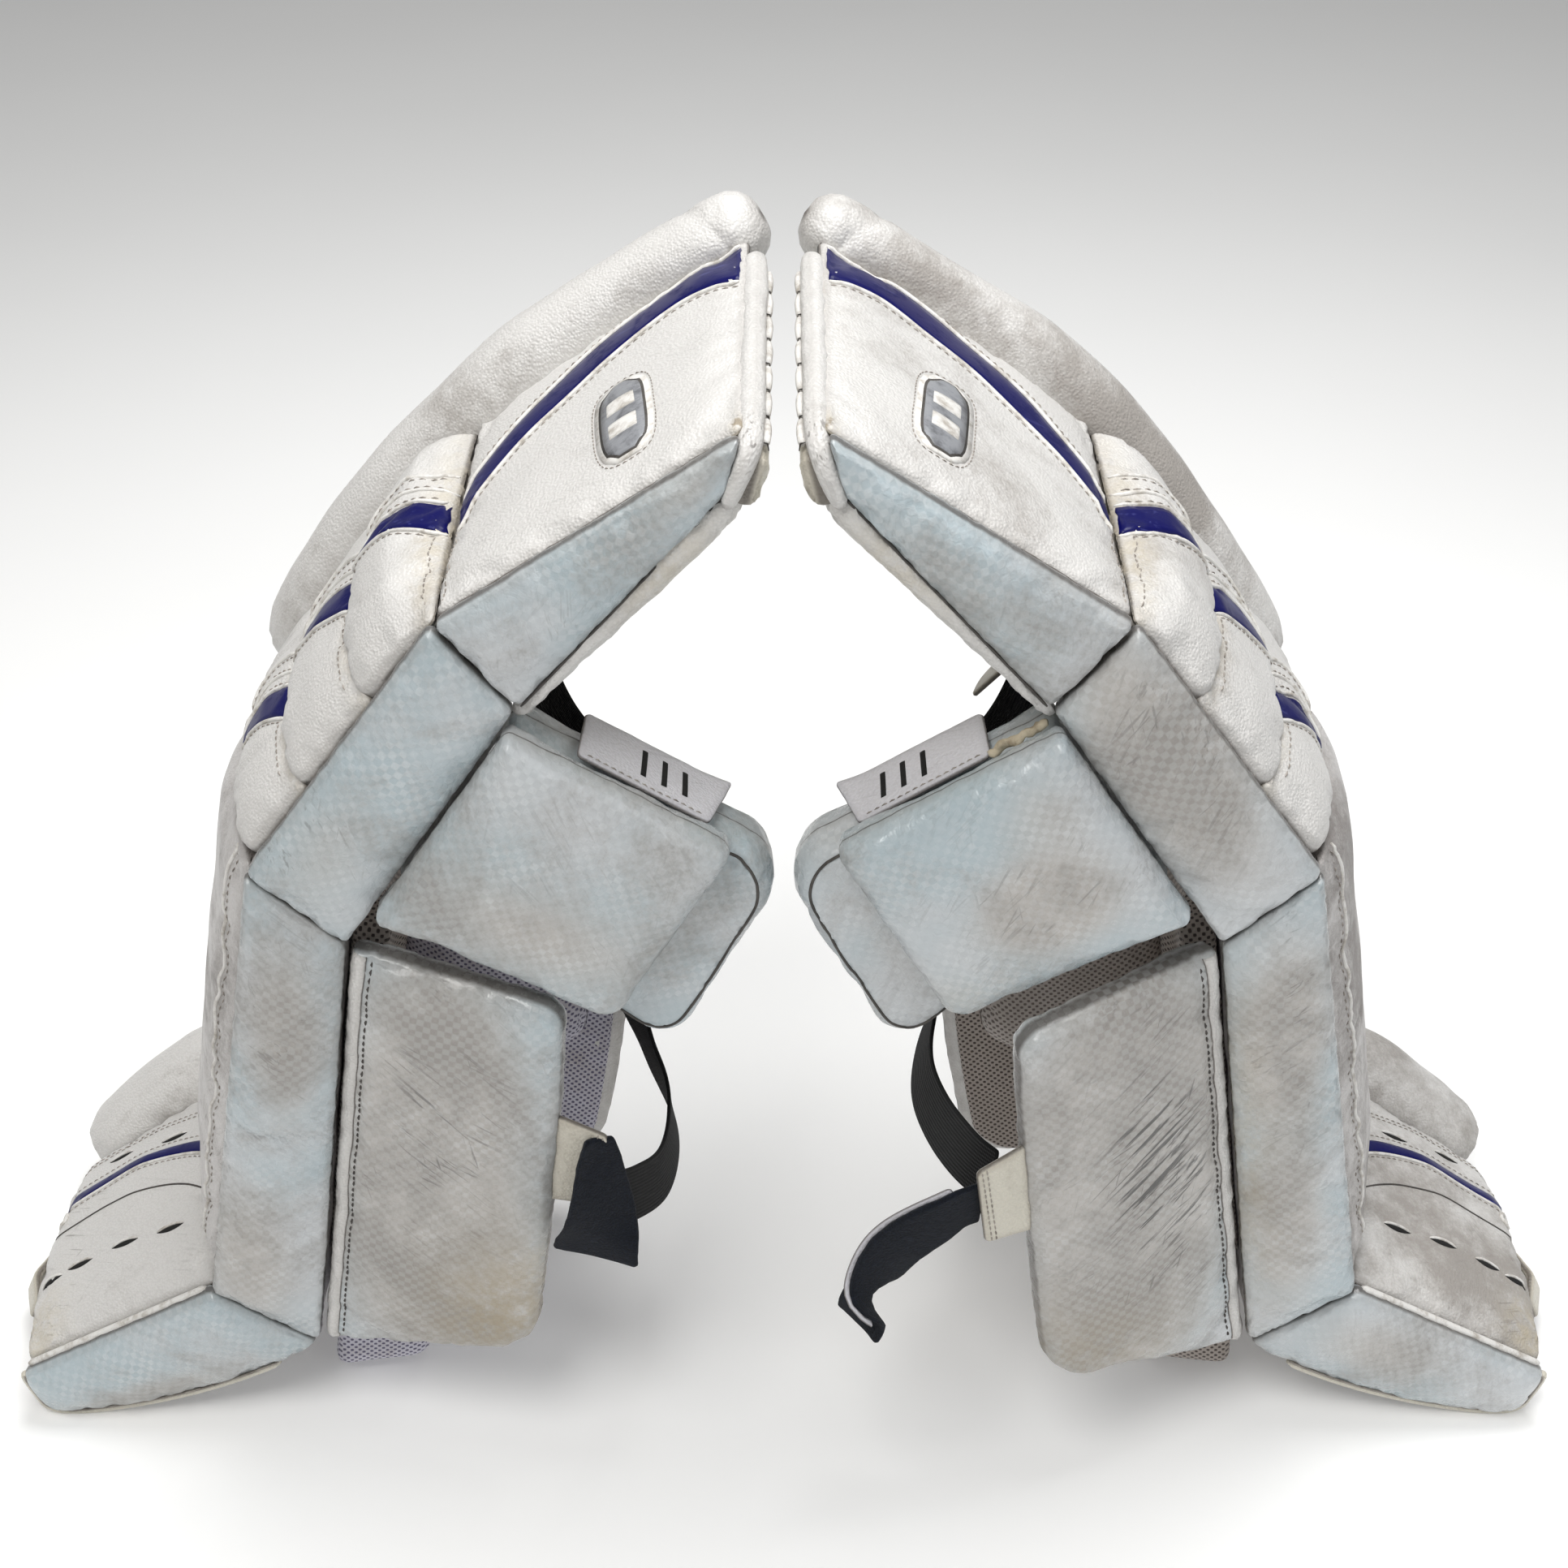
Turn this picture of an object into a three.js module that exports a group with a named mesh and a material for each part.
// A pair of ice hockey goalie leg pads, standing on their boots with the thigh tops leaning together.
// One pad is built in its own frame and used twice, once mirrored. In that frame +X runs out from the
// plane between the pads towards the pad's front, +Y runs across the pad from its inner edge to its
// outer edge, and +Z is up. Millimetres.
import * as THREE from 'three';

// ---------------------------------------------------------------- driving dimensions

// The front line of the inner edge, from the thigh top down to the toe: lengths, and leans from vertical.
const TOP = [20, 737];
const THIGH = { length: 191, lean: 55.9 };
const KNEE = { length: 199, lean: 36 };
const SHIN = { length: 351, lean: 11.7 };
const BOOT = { length: 161, lean: 59.5 };

// How deep the pad is at the top, at its three breaks and at the toe, and how each seam leans.
const SEAMS = {
  top: { depth: 32, lean: -13 },
  knee: { depth: 65, lean: 38 },
  shin: { depth: 71, lean: 44.4 },
  boot: { depth: 80.5, lean: 51.6 },
  toe: { depth: 60, lean: 42.7 },
};

const WIDTH = 207;            // face, from the inner edge to the root of the outer roll
const CORE_SIDE = 203;        // outer side of the foam cores
const EDGE_THICK = 12;        // padded panels along the inner edge
const EDGE_PROUD = 4;         // how far those panels stand out past the inner plane
const SKIN = 6;               // how deep the face panels sit into the front line
const GAP = 0.6;              // clearance between neighbouring pieces
const INNER = EDGE_THICK - EDGE_PROUD + GAP;   // where the cores and faces begin, behind the inner edge
const FACE_END = 0.1;         // share of a face's length over which its end leans with the seam
const BREAK_GAP = 1.2;        // clearance on each side of a break that bends
const TOE_NARROWING = 30;     // how much narrower the boot is at the toe

const SHIN_CROWN = 29;        // how far the faces bulge in the middle
const KNEE_CROWN = 27;
const BOOT_CROWN = 16;
const THIGH_CROWN = 4;

const ROLL_RADIUS = 28;       // outer roll
const ROLL_CENTRE = 238;      // across the pad
const SHIN_ROLL_RADIUS = 20;

const WING_THICK = 20;        // calf wing
const WING_OPEN = { left: 22, right: 11 };   // how far each calf wing stands open, degrees

const WHITE = 0xdedcd8;
const PEARL = 0xc9d6d9;
const CREAM = 0xb5ad99;
const MESH = 0xa79c98;
const BLACK = 0x0c0c0e;
const FELT = 0x1e2430;

// ---------------------------------------------------------------- small geometry helpers

const radians = (degrees) => degrees * Math.PI / 180;
const along = (lean) => [Math.sin(radians(lean)), -Math.cos(radians(lean))];
const outward = (lean) => [Math.cos(radians(lean)), Math.sin(radians(lean))];
const seamLine = (lean) => [Math.sin(radians(lean)), Math.cos(radians(lean))];
const step = (p, d, distance) => [p[0] + d[0] * distance, p[1] + d[1] * distance];
const mix = (p, q, t) => [p[0] + (q[0] - p[0]) * t, p[1] + (q[1] - p[1]) * t];
const place = (p, w) => new THREE.Vector3(p[0], w, p[1]);

// A closed body through a row of loops that have the same number of points, with fan caps.
function loft(loops) {
  const count = loops[0].length;
  const points = loops.flat();
  const triangles = [];
  for (let k = 0; k + 1 < loops.length; k++) {
    for (let i = 0; i < count; i++) {
      const a = k * count + i;
      const b = k * count + (i + 1) % count;
      triangles.push(a, b, b + count, a, b + count, a + count);
    }
  }
  for (const [loop, first, flip] of [[loops[0], 0, true], [loops.at(-1), points.length - count, false]]) {
    const middle = loop.reduce((sum, p) => sum.add(p), new THREE.Vector3()).divideScalar(count);
    const centre = points.push(middle) - 1;
    for (let i = 0; i < count; i++) {
      const a = first + i;
      const b = first + (i + 1) % count;
      triangles.push(...(flip ? [centre, b, a] : [centre, a, b]));
    }
  }
  return outwardFacing(points, triangles);
}

// Builds the geometry, turning every triangle over if they face inwards.
function outwardFacing(points, triangles) {
  let volume = 0;
  for (let i = 0; i < triangles.length; i += 3) {
    const [a, b, c] = [points[triangles[i]], points[triangles[i + 1]], points[triangles[i + 2]]];
    volume += a.dot(b.clone().cross(c));
  }
  if (volume < 0) {
    triangles.reverse();
  }
  const geometry = new THREE.BufferGeometry().setFromPoints(points);
  geometry.setIndex(triangles);
  geometry.computeVertexNormals();
  return geometry;
}

// A flat outline pulled in towards its middle.
function inset(outline, distance) {
  const middle = outline.reduce((s, p) => [s[0] + p[0], s[1] + p[1]], [0, 0]).map((s) => s / outline.length);
  return outline.map((p) => mix(p, middle, distance / Math.hypot(middle[0] - p[0], middle[1] - p[1])));
}

// A padded panel: an outline with softened edges between two heights, placed by toSpace(a, b, height).
function panel(outline, low, high, edge, toSpace) {
  const rim = inset(outline, edge * 1.2);
  const levels = [[rim, low], [outline, low + edge], [outline, high - edge], [rim, high]];
  return loft(levels.map(([shape, height]) => shape.map(([a, b]) => toSpace(a, b, height))));
}

// A plain block between two outlines in the side plane, at two places across the pad.
function block(inner, outer, low, high) {
  return loft([inner.map((p) => place(p, low)), outer.map((p) => place(p, high))]);
}

// A roll: oval sections about a path in the side plane, with rounded ends. Each stop is
// [point, direction across the roll in the side plane, place across the pad, radius].
function roll(stops, sides = 10) {
  return loft(stops.map(([centre, normal, w, radius]) => {
    const ring = [];
    for (let i = 0; i < sides; i++) {
      const turn = 2 * Math.PI * i / sides;
      ring.push(place(step(centre, normal, radius * Math.sin(turn)), w + radius * Math.cos(turn)));
    }
    return ring;
  }));
}

// A flat strap: a thin band along a path, spread along `across` and thick along each stop's own normal.
function strap(path, across, width, thick) {
  const loops = path.map((point, i) => {
    const before = path[Math.max(i - 1, 0)];
    const after = path[Math.min(i + 1, path.length - 1)];
    const normal = after.clone().sub(before).cross(across).setLength(thick / 2);
    const side = across.clone().setLength(width / 2);
    const corner = (a, b) => point.clone().addScaledVector(normal, a).addScaledVector(side, b);
    return [corner(-1, -1), corner(1, -1), corner(1, 1), corner(-1, 1)];
  });
  return loft(loops);
}

// ---------------------------------------------------------------- the side outline of one pad

const front = { top: TOP };
front.knee = step(front.top, along(THIGH.lean), THIGH.length);
front.shin = step(front.knee, along(KNEE.lean), KNEE.length);
front.boot = step(front.shin, along(SHIN.lean), SHIN.length);
front.toe = step(front.boot, along(BOOT.lean), BOOT.length);
const back = {};
for (const [name, seam] of Object.entries(SEAMS)) {
  back[name] = step(front[name], seamLine(seam.lean), -seam.depth);
}

// A point at `depth` (0 front, 1 back) of the seam `name`, moved `shift` along the lean `lean`.
function seamPoint(name, depth, lean, shift) {
  return step(mix(front[name], back[name], depth), along(lean), shift);
}

// Four-cornered outline of one stretch of the pad, between two seams and two depths in millimetres.
function stretch(lean, from, to, frontDepth, backDepth, gapFrom, gapTo) {
  const at = (name, millimetres) => millimetres / SEAMS[name].depth;
  return [
    seamPoint(from, at(from, frontDepth), lean, gapFrom),
    seamPoint(to, at(to, frontDepth), lean, -gapTo),
    seamPoint(to, 1 - at(to, backDepth), lean, -gapTo),
    seamPoint(from, 1 - at(from, backDepth), lean, gapFrom),
  ];
}

const side = (outline, low, high, edge) => panel(outline, low, high, edge, (u, z, w) => place([u, z], w));

// ---------------------------------------------------------------- faces

// A crowned face over one stretch: cross-sections at shares of its length, each with its own bulge.
function crownedFace(from, to, lean, gapFrom, gapTo, stations, widthAt) {
  const normal = outward(lean);
  const base = (share, n) => {
    const start = seamPoint(from, n < 0 ? SKIN / SEAMS[from].depth : 0, lean, gapFrom);
    const end = seamPoint(to, n < 0 ? SKIN / SEAMS[to].depth : 0, lean, -gapTo);
    return mix(start, end, share);
  };
  // The face's ends lean with their seams, so that faces meeting at an angle stay apart.
  const rise = (share, height) => {
    const ends = [[from, share / FACE_END], [to, (1 - share) / FACE_END]].filter(([, t]) => t < 1);
    const [name, t] = ends[0] ?? [from, 1];
    const lean = mix(seamLine(SEAMS[name].lean), normal, t);
    return step(base(share, 0), lean, height / (lean[0] * normal[0] + lean[1] * normal[1]));
  };
  const loops = stations.map(([share, bulge]) => {
    const width = widthAt(share);
    const loop = [place(base(share, -1), INNER), place(base(share, -1), width)];
    const arcs = 6;
    for (let i = 0; i <= arcs; i++) {
      const t = 1 - i / arcs;
      const height = bulge * Math.sin(Math.PI * t) ** 0.7 + bulge * 0.35 * t;
      loop.push(place(rise(share, height), INNER + (width - INNER) * t));
    }
    return loop;
  });
  return loft(loops);
}

const fullWidth = () => WIDTH;
const bootWidth = (share) => WIDTH - TOE_NARROWING * share;

function thighFace() {
  const stations = [[0, THIGH_CROWN / 2], [0.5, THIGH_CROWN], [1, THIGH_CROWN]];
  return crownedFace('top', 'knee', THIGH.lean, GAP, BREAK_GAP, stations, fullWidth);
}

function shinFace() {
  const stations = [[0, 0.7], [0.06, 0.95], [0.35, 1], [0.75, 1], [0.93, 0.8], [1, 0.35]]
    .map(([share, bulge]) => [share, bulge * SHIN_CROWN]);
  return crownedFace('shin', 'boot', SHIN.lean, GAP, BREAK_GAP, stations, fullWidth);
}

function bootFace() {
  const stations = [[0, 0.3], [0.12, 0.8], [0.5, 1], [0.9, 0.8], [1, 0.4]]
    .map(([share, bulge]) => [share, bulge * BOOT_CROWN]);
  return crownedFace('boot', 'toe', BOOT.lean, BREAK_GAP, 0, stations, bootWidth);
}

// One of three knee rolls, stacked down the knee: `low` and `high` are shares of the knee's length.
function kneeRoll(low, high, gapLow) {
  const [first, last] = [low * KNEE.length + gapLow, high * KNEE.length - GAP];
  const shape = [[first, -SKIN], [last, -SKIN], [last, 0.45], [last - 9, 0.9], [(first + last) / 2, 1],
    [first + 9, 0.9], [first, 0.45]];
  const across = [[0, 0.06], [0.06, 0.4], [0.25, 0.85], [0.5, 1], [0.75, 0.95], [0.94, 0.75], [1, 0.55]];
  return loft(across.map(([share, bulge]) => shape.map(([run, height]) => {
    const rise = height < 0 ? height : height * bulge * KNEE_CROWN;
    const point = step(step(front.knee, along(KNEE.lean), run), outward(KNEE.lean), rise);
    return place(point, INNER + (WIDTH - INNER) * share);
  })));
}

// ---------------------------------------------------------------- thigh

const thighBulge = 5;         // the lining behind the thigh stands past the inner edge panel

function thighCore() {
  const outline = stretch(THIGH.lean, 'top', 'knee', SKIN + GAP, -thighBulge, GAP, BREAK_GAP);
  outline[2] = seamPoint('knee', 1, THIGH.lean, -BREAK_GAP);
  outline.splice(2, 1, outline[2], step(outline[2], along(THIGH.lean), -24));
  outline[3] = step(outline[3], outward(THIGH.lean), -thighBulge);
  return block(outline, outline, INNER, CORE_SIDE);
}

// The padded end of the thigh: `depth` runs from the front to the back, `out` past the thigh's end.
function topCap() {
  const seam = seamLine(SEAMS.top.lean);
  const corner = (depth, out) => step(step(front.top, seam, -depth), [-seam[1], seam[0]], out);
  const outline = [corner(0, GAP), corner(-5, 6), corner(-3, 14), corner(6, 18.5), corner(22, 18.5),
    corner(34, 14), corner(41, 5), corner(38, GAP)];
  return block(outline, outline, -EDGE_PROUD + 2, WIDTH);
}

function innerEdge(lean, from, to, gapFrom, gapTo) {
  const outline = stretch(lean, from, to, 0, 0, gapFrom, gapTo);
  return side(outline, -EDGE_PROUD, EDGE_THICK - EDGE_PROUD, 3);
}

function outerRollUpper() {
  const normal = outward(THIGH.lean);
  const stop = (run, size) => [
    step(front.top, along(THIGH.lean), run), normal, ROLL_CENTRE, ROLL_RADIUS * size,
  ];
  const ends = THIGH.length - 3;
  const stops = [stop(-14, 0.45), stop(-8, 0.75), stop(8, 0.97), stop(60, 1), stop(ends - 30, 1)];
  stops.push([step(front.knee, along(THIGH.lean), -3), seamLine(SEAMS.knee.lean), ROLL_CENTRE, ROLL_RADIUS]);
  return roll(stops);
}

// ---------------------------------------------------------------- knee and shin

function kneeShinCore() {
  const knee = stretch(KNEE.lean, 'knee', 'shin', SKIN + GAP, 3, BREAK_GAP, 0);
  const shin = stretch(SHIN.lean, 'shin', 'boot', SKIN + GAP, 3, 0, BREAK_GAP);
  const outline = [knee[0], mix(knee[1], shin[0], 0.5), shin[1], shin[2], mix(knee[2], shin[3], 0.5), knee[3]];
  return extruded(outline, INNER, CORE_SIDE);
}

function outerRollLower() {
  const normal = outward(KNEE.lean);
  const stop = (run, size) => [
    step(front.knee, along(KNEE.lean), run), normal, ROLL_CENTRE, ROLL_RADIUS * size,
  ];
  const stops = [[step(front.knee, along(KNEE.lean), 3), seamLine(SEAMS.knee.lean), ROLL_CENTRE, ROLL_RADIUS]];
  stops.push(stop(34, 0.98), stop(100, 1), stop(170, 0.98), stop(208, 0.85), stop(220, 0.5));
  return roll(stops);
}

function shinOuterRoll() {
  const normal = outward(SHIN.lean);
  const rise = 9;
  const stop = (run, size) => [
    step(step(front.shin, along(SHIN.lean), run), normal, rise), normal, ROLL_CENTRE - 8,
    SHIN_ROLL_RADIUS * size,
  ];
  return roll([stop(44, 0.5), stop(52, 0.9), stop(80, 1), stop(260, 1), stop(322, 0.85), stop(334, 0.5)]);
}

// ---------------------------------------------------------------- boot

// The boot's sole is flat where it rests on the floor, and its outer side reaches further out.
function bootOutlines(frontDepth, gap) {
  const start = seamPoint('boot', frontDepth / SEAMS.boot.depth, BOOT.lean, gap);
  const heel = seamPoint('boot', 1, BOOT.lean, gap);
  const sunk = step(front.toe, outward(BOOT.lean), -frontDepth);
  const inner = [start, sunk, [front.toe[0] + 4, 27], [492, 0], [462, 0], heel];
  const outerToe = [527, 24 - frontDepth];
  const outer = [start, outerToe, [532, 9], [528, 0], [484, 0], heel];
  return [inner, outer];
}

function bootCore() {
  const [inner, outer] = bootOutlines(SKIN + GAP, BREAK_GAP);
  const narrow = (p) => CORE_SIDE - TOE_NARROWING * Math.min(1, Math.max(0, (p[0] - front.boot[0]) / 150));
  return loft([inner.map((p) => place(p, INNER)), outer.map((p) => place(p, narrow(p)))]);
}

function bootInnerEdge() {
  const [inner] = bootOutlines(0, BREAK_GAP);
  return side(inner, -EDGE_PROUD, EDGE_THICK - EDGE_PROUD, 3);
}

function bootOuterRoll() {
  const lean = BOOT.lean;
  const normal = outward(lean);
  const stop = (run, rise, inwards, radius) => [
    step(step(front.boot, along(lean), run), normal, rise), normal, ROLL_CENTRE - inwards, radius,
  ];
  return roll([stop(24, -5, 0, 13), stop(30, -4, 0, 24), stop(60, -5, 4, 28), stop(120, -11, 16, 27),
    stop(158, -15, 24, 22), stop(168, -16, 26, 12)]);
}

// The tab on the toe's end that the toe lace goes through.
function toeBridge() {
  const near = [[514, 35], [518.5, 22], [526.4, 17], [524, 32]];
  const far = near.map(([u, z]) => [u + 5.5, z - 5.6]);
  return block(near, far, 60, 112);
}

// ---------------------------------------------------------------- leg channel and calf

// Runs down the back of the shin: `out` away from the back line, `run` down it.
const backLean = 90 - THREE.MathUtils.radToDeg(
  Math.atan2(back.shin[1] - back.boot[1], back.boot[0] - back.shin[0]),
);
const onBack = (run, out) => step(step(back.shin, along(backLean), run), outward(backLean), -out);
const SHIN_BACK = Math.hypot(back.boot[0] - back.shin[0], back.boot[1] - back.shin[1]);

function legChannel() {
  const outline = [onBack(12, -1.2), onBack(SHIN_BACK - 12, -1.2), [297, 56], [299, 40], [303, 14], [296, 7],
    [246, 9], [230, 34], [240, 47], [268, 48], onBack(SHIN_BACK - 44, 14), onBack(12, 14)];
  return extruded(outline, 28, 172);
}

// A body with a constant outline in the side plane, which may bend inwards.
function extruded(outline, low, high) {
  const shape = new THREE.Shape(outline.map(([u, z]) => new THREE.Vector2(u, z)));
  const geometry = new THREE.ExtrudeGeometry(shape, { depth: high - low, bevelEnabled: false });
  geometry.rotateX(Math.PI / 2);
  geometry.translate(0, high, 0);
  return geometry;
}

function calfWrap() {
  const outline = [onBack(24, 0.5), onBack(30, 118), onBack(48, 144), onBack(118, 170), onBack(298, 174),
    onBack(327, 160), onBack(338, 126), onBack(322, 0.5)];
  return side(outline, 176, 199, 6);
}

function calfCushion() {
  const outline = [onBack(40, 18), onBack(46, 98), onBack(72, 124), onBack(196, 142), onBack(220, 122),
    onBack(228, 18)];
  return side(outline, 150, 175.4, 8);
}

// The calf wing and its strap tab are drawn closed, in the plane of the inner edge, and turned open.
const WING_AXIS_W = 2;

function wingPlace(open) {
  const lift = radians(open);
  return (run, out, w) => {
    const near = out * Math.cos(lift) + (w - WING_AXIS_W) * Math.sin(lift);
    const across = WING_AXIS_W + (w - WING_AXIS_W) * Math.cos(lift) - out * Math.sin(lift);
    return place(onBack(run, near), across);
  };
}

function calfWing(open) {
  const outline = [[8, 4], [13, 118], [24, 128], [274, 141], [296, 135], [310, 112], [347, 5]];
  return panel(outline, 0, WING_THICK, 6, wingPlace(open));
}

function strapTab(open) {
  const outline = [[98, 138.5], [104, 164], [162, 166], [168, 141]];
  return panel(outline, 6, 10, 1, wingPlace(open));
}

// The tail is a stiff felt strap that hangs from the tab.
function strapTail(path) {
  return strap(path, new THREE.Vector3(0.25, 0, 1), 36, 4);
}

function calfStrap(path) {
  return strap(path, new THREE.Vector3(0, 0.1, 1), 36, 2.5);
}

// ---------------------------------------------------------------- knee block

// Runs on the knee's back: `run` down the back edge from the knee break, `out` away from it.
const kneeLean = 90 - THREE.MathUtils.radToDeg(
  Math.atan2(back.knee[1] - back.shin[1], back.shin[0] - back.knee[0]),
);
const onKnee = (run, out) => step(step(back.knee, along(kneeLean), run), outward(kneeLean), -out);
const kneePlace = (run, out, w) => place(onKnee(run, out), w);

function kneeWing() {
  const outline = [[22, 8], [21, 158], [29, 178], [49, 189], [135, 205], [160, 201], [172, 184], [172, 137],
    [150, 128], [150, 8]];
  return panel(outline, 11, 50, 7, kneePlace);
}

function kneeBlock() {
  const outline = [[15, 3.5], [11, 128], [19, 138], [138, 147], [151, 139], [158, 5]];
  return panel(outline, -17, 8, 7, kneePlace);
}

function kneeFlap() {
  const outline = [[13.5, 11.2], [16, 11.2], [16, 52], [13.5, 50]];
  return loft([44, 138].map((out) => outline.map(([run, w]) => kneePlace(run, out, w))));
}

function kneeStrap() {
  const path = [[76, 52.5], [62, 58], [44, 74], [28, 104], [16, 142], [5, 184]];
  const across = kneePlace(10, 0, 0).sub(kneePlace(0, 0, 0));
  return strap(path.map(([out, w]) => kneePlace(46, out, w)), across, 36, 2.5);
}

// ---------------------------------------------------------------- one pad

function material(color, roughness) {
  return new THREE.MeshStandardMaterial({ color, roughness, metalness: 0 });
}

function pad(prefix, open, tailPath, strapPath) {
  const leather = material(WHITE, 0.55);
  const pearl = material(PEARL, 0.35);
  const pieces = {
    thigh_core: [thighCore(), leather],
    thigh_face: [thighFace(), leather],
    thigh_inner_edge: [innerEdge(THIGH.lean, 'top', 'knee', GAP, BREAK_GAP), pearl],
    top_cap: [topCap(), leather],
    outer_roll_upper: [outerRollUpper(), leather],
    knee_shin_core: [kneeShinCore(), leather],
    knee_roll_upper: [kneeRoll(0, 0.355, 3), leather],
    knee_roll_middle: [kneeRoll(0.355, 0.71, GAP), leather],
    knee_roll_lower: [kneeRoll(0.71, 0.985, GAP), leather],
    knee_inner_edge: [innerEdge(KNEE.lean, 'knee', 'shin', BREAK_GAP, GAP), pearl],
    shin_face: [shinFace(), leather],
    shin_inner_edge: [innerEdge(SHIN.lean, 'shin', 'boot', GAP, BREAK_GAP), pearl],
    outer_roll_lower: [outerRollLower(), leather],
    shin_outer_roll: [shinOuterRoll(), leather],
    leg_channel: [legChannel(), material(MESH, 0.9)],
    calf_wrap: [calfWrap(), leather],
    calf_cushion: [calfCushion(), material(MESH, 0.9)],
    calf_strap: [calfStrap(strapPath), material(BLACK, 0.8)],
    calf_wing: [calfWing(open), pearl],
    strap_tab: [strapTab(open), material(CREAM, 0.6)],
    strap_tail: [strapTail(tailPath), material(FELT, 0.95)],
    knee_wing: [kneeWing(), pearl],
    knee_block: [kneeBlock(), pearl],
    knee_flap: [kneeFlap(), leather],
    knee_strap: [kneeStrap(), material(BLACK, 0.8)],
    boot_core: [bootCore(), leather],
    boot_face: [bootFace(), leather],
    boot_inner_edge: [bootInnerEdge(), pearl],
    boot_outer_roll: [bootOuterRoll(), leather],
    toe_bridge: [toeBridge(), leather],
  };
  const group = new THREE.Group();
  for (const [name, [geometry, finish]] of Object.entries(pieces)) {
    const mesh = new THREE.Mesh(geometry, finish);
    mesh.name = `${prefix}_${name}`;
    group.add(mesh);
  }
  return group;
}

const point = (u, w, z) => new THREE.Vector3(u, w, z);

// The left pad stands on the +X side, the right pad is its mirror image.
const leftTail = [point(102, -54, 252), point(84, -56, 250), point(66, -58, 228), point(52, -59, 196),
  point(42, -60, 160)];
const leftStrap = [point(109, 172.6, 232), point(88, 150, 206), point(80, 110, 200), point(90, 60, 214),
  point(112, 8, 238), point(126, -17, 246)];
const rightTail = [point(95, -25, 258), point(92, -28, 240), point(94, -30, 214), point(100, -30, 190)];
const rightStrap = [point(109, 172.6, 232), point(92, 152, 194), point(75, 118, 156), point(78, 68, 154),
  point(95, 22, 182), point(112, -6, 214)];

const leftPad = pad('left', WING_OPEN.left, leftTail, leftStrap);
const rightPad = pad('right', WING_OPEN.right, rightTail, rightStrap);
rightPad.scale.x = -1;

// The origin is under the middle of the pair, on the floor.
const group = new THREE.Group();
group.add(leftPad, rightPad);
group.updateMatrixWorld(true);
const box = new THREE.Box3().setFromObject(group);
group.position.y = -(box.min.y + box.max.y) / 2;
group.updateMatrixWorld(true);

export default group;
